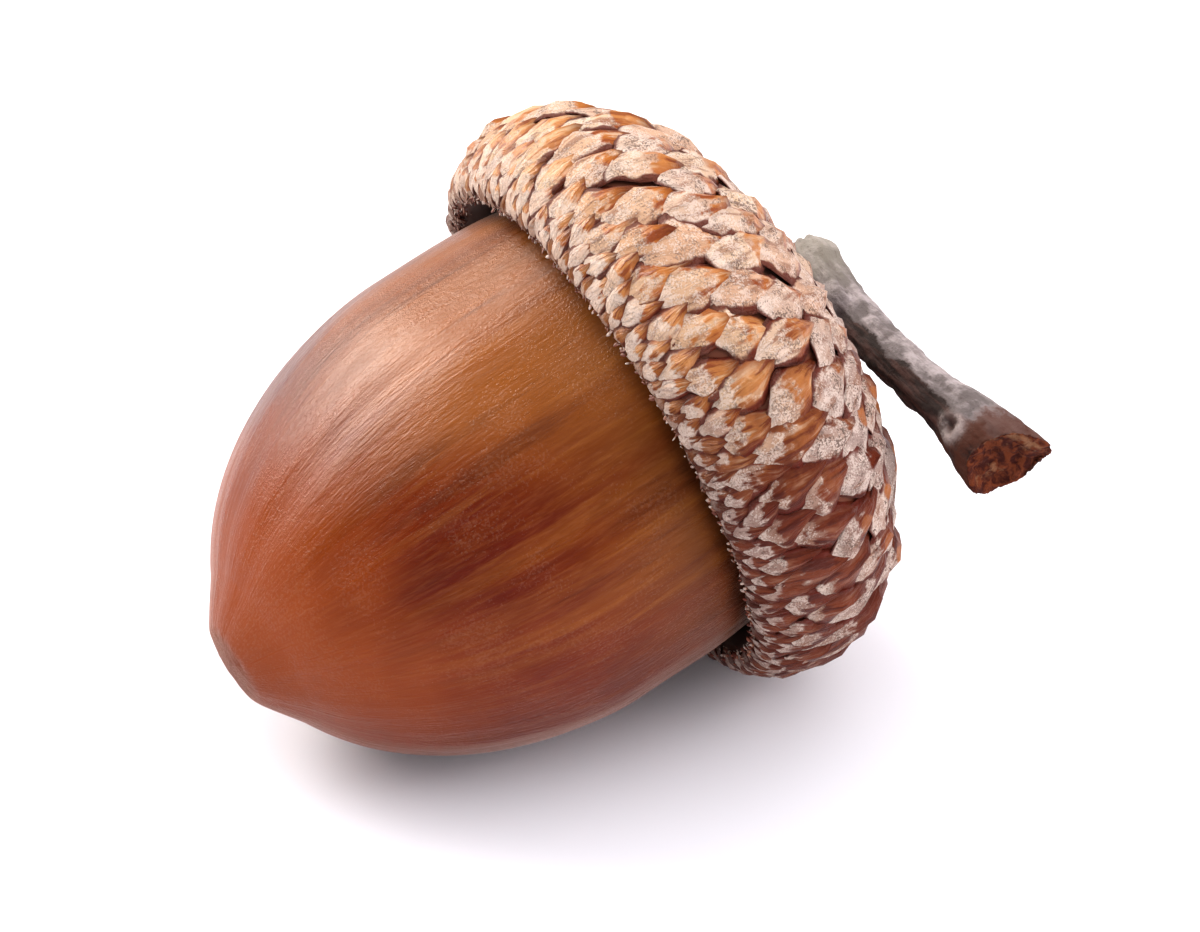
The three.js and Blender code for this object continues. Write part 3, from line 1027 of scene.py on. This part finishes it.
# %% The stalk's route
STALK_ROUTE = [  # sideways, out behind the cup's back, and down
    (-3.6, 1.75, 0.6),
    (-1.4, 1.55, 1.2),
    (1.5, 1.4, 1.4),
    (6.2, 1.1, 0.8),
    (9.2, 1.25, 0.95),
    (11.8, 1.5, 1.85),
]


def smooth_route(knots, steps=160):
    """A centripetal Catmull-Rom curve through the knots, sampled at even steps of its length."""
    knots = np.vstack([2 * knots[0] - knots[1], knots, 2 * knots[-1] - knots[-2]])
    spots = []
    for before, start, end, after in zip(knots, knots[1:], knots[2:], knots[3:]):
        d0, d1, d2 = (np.linalg.norm(b - a) ** 0.5 for a, b in ((before, start), (start, end), (end, after)))
        leave = ((start - before) / d0 - (end - before) / (d0 + d1)) * d1 + (end - start)
        arrive = (end - start) - ((after - start) / (d1 + d2) - (after - end) / d2) * d1
        t = np.linspace(0, 1, 60)[:, None]
        squared = 3 * (end - start) - 2 * leave - arrive
        cubed = 2 * (start - end) + leave + arrive
        spots.append(start + leave * t + squared * t**2 + cubed * t**3)
    spots = np.vstack(spots)
    length = np.concatenate([[0], np.cumsum(np.linalg.norm(np.diff(spots, axis=0), axis=1))])
    even = np.linspace(0, length[-1], steps)
    return np.stack([np.interp(even, length, spots[:, axis]) for axis in range(3)], -1), length[-1]


def unit(vectors):
    return vectors / np.linalg.norm(vectors, axis=1, keepdims=True)


stalk_knots = np.array([(aside, -CUP_BACK - out, drop) for aside, out, drop in STALK_ROUTE])
route, stalk_length = smooth_route(stalk_knots)
route_forward = unit(np.gradient(route, axis=0))
route_up = unit(np.array([0.0, 0.0, -1.0]) + route_forward * route_forward[:, 2:3])
route_cupward = np.cross(route_forward, route_up)
print("the stalk is", round(float(stalk_length), 1), "mm long")

# %% The plain shells, melted together
SHAFT_RADIUS = 0.96
KNUCKLE_RADIUS = 1.25
FLARE_RADIUS = 1.7
LOBE_TURN = math.radians(109)  # the flared end is broadest towards the cup and away from it
LOBE_DEPTH = 0.13
LOBE_REACH = 0.4
DOME_SHARE, KNUCKLE_SHARE, FLARE_SHARE = 0.09, 0.28, 0.17  # of the stalk's length
TEAR_TURN = math.radians(58)
TEAR_SLANT = 0.7
TEAR_HOLLOW = 0.55
NECK_RADIUS = 1.3
NECK_DROP = 1.2
NECK_ENDS = (-0.7, 1.5)  # out from the cup's back, and the neck is widest at its foot
VOXEL = 0.075


def shaft_radius(share, turn):
    dome = np.sqrt(1 - (1 - np.minimum(1, (share + 0.02) / DOME_SHARE)) ** 2)
    knuckle = (KNUCKLE_RADIUS - SHAFT_RADIUS) * bump_of(share, KNUCKLE_SHARE)
    flare = bump_of(1 - share, FLARE_SHARE)
    lobed = 1 - LOBE_DEPTH * (1 - np.cos(2 * (turn - LOBE_TURN))) * flare
    return (SHAFT_RADIUS + knuckle + (FLARE_RADIUS - SHAFT_RADIUS) * flare) * dome * lobed


def shaft_shell(columns=48):
    share = np.linspace(0, 1, len(route))[:, None]
    turn = np.linspace(0, 2 * np.pi, columns, endpoint=False)[None, :]
    radius = shaft_radius(share, turn)[..., None]
    around = np.cos(turn)[..., None] * route_up[:, None] + np.sin(turn)[..., None] * route_cupward[:, None]
    # The tear is oblique: it starts further back on one side, and two lobes stand out past it.
    lobes = LOBE_REACH * np.maximum(0, np.cos(2 * (turn - LOBE_TURN)))
    torn_back = TEAR_SLANT * np.cos(turn - TEAR_TURN) - lobes
    slid = (torn_back * smooth_step(0.8, 1.0, share))[..., None] * route_forward[:, None]
    rings = route[:, None] + radius * around - slid
    # The torn face sinks in towards its middle.
    inner = np.linspace(0.92, 0.06, 9)[:, None, None]
    face = route[-1] + inner * (rings[-1] - route[-1]) - TEAR_HOLLOW * (1 - inner**1.8) * route_forward[-1]
    return grid_mesh("shaft", np.concatenate([rings, face]))


def neck_shell():
    out = np.linspace(*NECK_ENDS, 12)
    radius = NECK_RADIUS * (0.95 + 0.5 * bump_of(out + 0.5, 0.65))
    return grid_mesh("neck", turned(radius, -CUP_BACK - out, columns=48, drop=NECK_DROP))


def melted(name, shells):
    """Joins closed shells into one skin of even small faces."""
    work = bmesh.new()
    for shell in shells:
        outward(shell)
        work.from_mesh(shell)
    joined = bpy.data.meshes.new(name + "_shells")
    work.to_mesh(joined)
    work.free()

    def set_up(remesh):
        remesh.mode, remesh.voxel_size = "VOXEL", VOXEL

    return modified(name, joined, "REMESH", set_up)


stalk_mesh = melted("stalk_skin", [shaft_shell(), neck_shell()])
print("the melted stalk has", len(stalk_mesh.vertices), "points")

# %% Ridges, scar and torn wood
SCAR_SHARE, SCAR_TURN, SCAR_RADIUS = 0.86, math.radians(48), 0.4
SCAR_RIM, SCAR_HOLLOW = 0.16, 0.12
RIDGE_GRAIN = np.array([2.6, 2.6, 0.42])  # narrow round the stalk and long along it
RIDGE_HEIGHT, LUMP_HEIGHT, SHRED_HEIGHT = 0.11, 0.09, 0.24
SHADY_TURN = math.radians(118)


def weather_stalk(mesh):
    points, normals = points_of(mesh), points_of(mesh, "normal")
    nearest = np.argmin(((points[:, None, :] - route[None, :, :]) ** 2).sum(-1), axis=1)
    share = nearest / (len(route) - 1)
    off = points - route[nearest]
    turn = np.arctan2((off * route_cupward[nearest]).sum(-1), (off * route_up[nearest]).sum(-1))
    past_end = ((points - route[-1]) * route_forward[-1]).sum(-1)
    facing_end = (normals * route_forward[-1]).sum(-1)
    torn = smooth_step(-2.4, -1.6, past_end) * smooth_step(0.25, 0.6, facing_end)
    grain = np.stack([np.cos(turn), np.sin(turn), share * stalk_length], -1)
    ridges = noise_at(grain * RIDGE_GRAIN, 1.0, 2.3, octaves=4)
    lumps = noise_at(points, 1.3, 5.1)
    shreds = noise_at(points, 0.8, 9.4)
    swing = (turn - SCAR_TURN + np.pi) % (2 * np.pi) - np.pi
    from_scar = np.hypot((share - SCAR_SHARE) * stalk_length, swing * 1.1)
    scar = SCAR_RIM * bump_of(from_scar - SCAR_RADIUS, 0.15) - SCAR_HOLLOW * bump_of(from_scar, 0.22)
    bark = RIDGE_HEIGHT * ridges + LUMP_HEIGHT * lumps + scar
    set_points(mesh, points + normals * ((1 - torn) * bark + torn * SHRED_HEIGHT * shreds)[:, None])
    store(mesh, "grain", grain)
    store(mesh, "shade", 0.5 + 0.5 * np.cos(turn - SHADY_TURN))
    store(mesh, "torn", torn)
    store(mesh, "share", share)
    on_surface = np.linalg.norm(off, axis=1) > 0.5
    store(mesh, "scar", bump_of(from_scar - SCAR_RADIUS, 0.2) * on_surface)


weather_stalk(stalk_mesh)
print("attributes on the stalk:", [a.name for a in stalk_mesh.attributes])

# %% [markdown]
# Weathered bark is silver grey. The side turned towards the cup and a little down is nearly black, partly
# the bark's own dark colour and partly painted shade, and the line between the two is ragged. Near the tear
# the bark is dark brown, and the torn wood is red-brown with paler shreds.

# %% The bark
def make_bark():
    material, tree, shader = new_material("stalk_bark")
    shade, torn, share, scar = (attribute(tree, name) for name in ("shade", "torn", "share", "scar"))
    in_mm = place_in_mm(tree)
    mottle = clouds_at(in_mm, 0.8, 5.0, Roughness=0.65)
    shreds = clouds_at(in_mm, 2.6, 4.0, Roughness=0.6, Distortion=0.8)
    fine, coarse = fibres(attribute(tree, "grain", "Vector"), 3.0, 5.0)
    dots = specks(in_mm, 7.0, 0.5, 1.2)
    grey = paint(
        blend(remap(mottle, 0.38, 0.62), (0.13, 0.105, 0.1), (0.38, 0.32, 0.31)),
        (remap(share, 0.3, 0.05, 0.0, 0.5), (0.3, 0.27, 0.2)),
        (remap(fine, 0.5, 0.32, 0.0, 0.6), (0.12, 0.09, 0.085)),
    )
    dark = blend(remap(fine, 0.4, 0.65), (0.018, 0.009, 0.008), (0.07, 0.03, 0.024))
    # Partly dark bark and partly painted shade: the side turned towards the cup and a little down, by the
    # shade attribute.
    dark_bark_and_shade = remap(mottle * 0.7 + shade + coarse * 0.35, 0.86, 0.97) * remap(share, 0.1, 0.4, 0.35, 1.0)
    wood = paint(
        blend(remap(shreds, 0.4, 0.62), (0.045, 0.009, 0.006), (0.15, 0.034, 0.012)),
        (remap(mottle, 0.55, 0.68, 0.0, 0.7), (0.3, 0.14, 0.07)),
    )
    colour = paint(
        grey,
        (dark_bark_and_shade, dark),
        (remap(mottle * 0.55 + share, 1.12, 1.22) * 0.9, (0.075, 0.022, 0.012)),
        (scar * remap(mottle, 0.42, 0.56, 0.2, 0.9), (0.42, 0.34, 0.31)),
        (remap(torn, 0.25, 0.6), wood),
    )
    fill(shader, {
        "Base Color": colour,
        "Roughness": 0.85,
        "Specular IOR Level": 0.12,
        "Normal": relief(
            (fine, 0.14, 0.7),
            (mottle, 0.3, 0.6),
            (dots, 0.05, 0.5),
            (shreds * torn, 0.25, 0.7),
        ),
    })
    return material


outward(stalk_mesh)
lay_down(stalk_mesh)
finished(stalk_mesh, "stalk", make_bark())

# %% [markdown]
# ## The table, the light and the camera
#
# The acorn lies on white card. A large soft lamp stands behind it on the left, a second hangs above, and
# only a weak one fills the side of the viewer. That keeps the nut's front deep and lets its upper left
# carry a broad, soft shine.

# %% Table
TABLE_HALF = 3.0  # metres


def make_table():
    corners = [(x * TABLE_HALF, y * TABLE_HALF, 0) for x, y in ((-1, -1), (1, -1), (1, 1), (-1, 1))]
    table = shown("table", mesh_of("table", corners, [(0, 1, 2, 3)]))
    material, tree, shader = new_material("white_card")
    fill(shader, {"Base Color": (0.93, 0.93, 0.965, 1), "Roughness": 0.8, "Specular IOR Level": 0.1})
    table.data.materials.append(material)


make_table()
print("the table is", 2 * TABLE_HALF, "m wide")

# %% [markdown]
# The lamps share out the work, as cards and flags do in a studio. The key and the overhead light the
# shapes. The sheen card only draws the broad shine on the nut's upper left, and the fill only opens the
# shadow, so neither spoils the depth of the skin.

# %% Light
def soft_lamp(name, direction, distance, size, power, colour, only_shines=False):
    """A rectangular lamp aimed at the acorn. It either lights the shapes or only draws the shine."""
    lamp = bpy.data.lights.new(name, "AREA")
    lamp.shape = "RECTANGLE"
    lamp.size, lamp.size_y = size
    lamp.energy = power
    lamp.color = colour
    holder = shown(name, lamp)
    where = Vector(direction).normalized()
    holder.location = where * distance + Vector((0, 0, 0.01))
    holder.rotation_euler = where.to_track_quat("Z", "Y").to_euler()
    holder.visible_diffuse, holder.visible_glossy = not only_shines, only_shines


soft_lamp("key", (-0.36, 0.75, 0.6), 0.6, (0.5, 0.4), 3.6, (1.0, 0.97, 0.94))
soft_lamp("sheen_card", (-0.35, 0.64, 0.57), 0.6, (0.46, 0.42), 31.0, (1.0, 0.86, 0.74), only_shines=True)
soft_lamp("overhead", (0.1, 0.0, 1.0), 0.7, (1.4, 1.4), 8.6, (0.97, 0.97, 1.0))
soft_lamp("fill", (0.85, -0.55, 0.4), 0.9, (0.7, 0.6), 5.7, (1.0, 0.92, 0.955))

ROOM_LIGHT, ROOM_SHINE, ROOM_SEEN = 0.55, 0.04, 1.2


def make_room():
    """A pale room: bright to the camera, soft on the shapes and dim in the shine."""
    world = bpy.data.worlds.new("room")
    scene.world = world
    world.use_nodes = True
    tree = world.node_tree
    shines, seen = add(tree, "ShaderNodeLightPath", output=("Is Glossy Ray", "Is Camera Ray"))
    strength = add(tree, "ShaderNodeMapRange", {"Value": shines, "To Min": ROOM_LIGHT, "To Max": ROOM_SHINE})
    strength = add(tree, "ShaderNodeMapRange", {"Value": seen, "To Min": strength, "To Max": ROOM_SEEN})
    fill(tree.nodes["Background"], {"Strength": strength, "Color": (0.96, 0.96, 1.0, 1)})


make_room()
print("lamps:", [lamp.name for lamp in bpy.data.lights])

# %% Camera
CAMERA_DISTANCE = 250.0
CAMERA_AZIMUTH = math.radians(-29.6)
CAMERA_ELEVATION = math.radians(35.05)
CAMERA_LENS = 186.0
AIM_FROM_RING = Vector((-3.3, -0.25, -2.5))

aim = (ring_centre + AIM_FROM_RING) * MM
from_aim = Vector((
    math.sin(CAMERA_AZIMUTH) * math.cos(CAMERA_ELEVATION),
    -math.cos(CAMERA_AZIMUTH) * math.cos(CAMERA_ELEVATION),
    math.sin(CAMERA_ELEVATION),
))
camera_data = bpy.data.cameras.new("camera")
camera_data.lens = CAMERA_LENS
camera_data.clip_start, camera_data.clip_end = 0.01, 20
camera = shown("camera", camera_data)
camera.location = aim + from_aim * CAMERA_DISTANCE * MM
camera.rotation_euler = from_aim.to_track_quat("Z", "Y").to_euler()
scene.camera = camera
print("the camera stands", CAMERA_DISTANCE, "mm from the acorn")
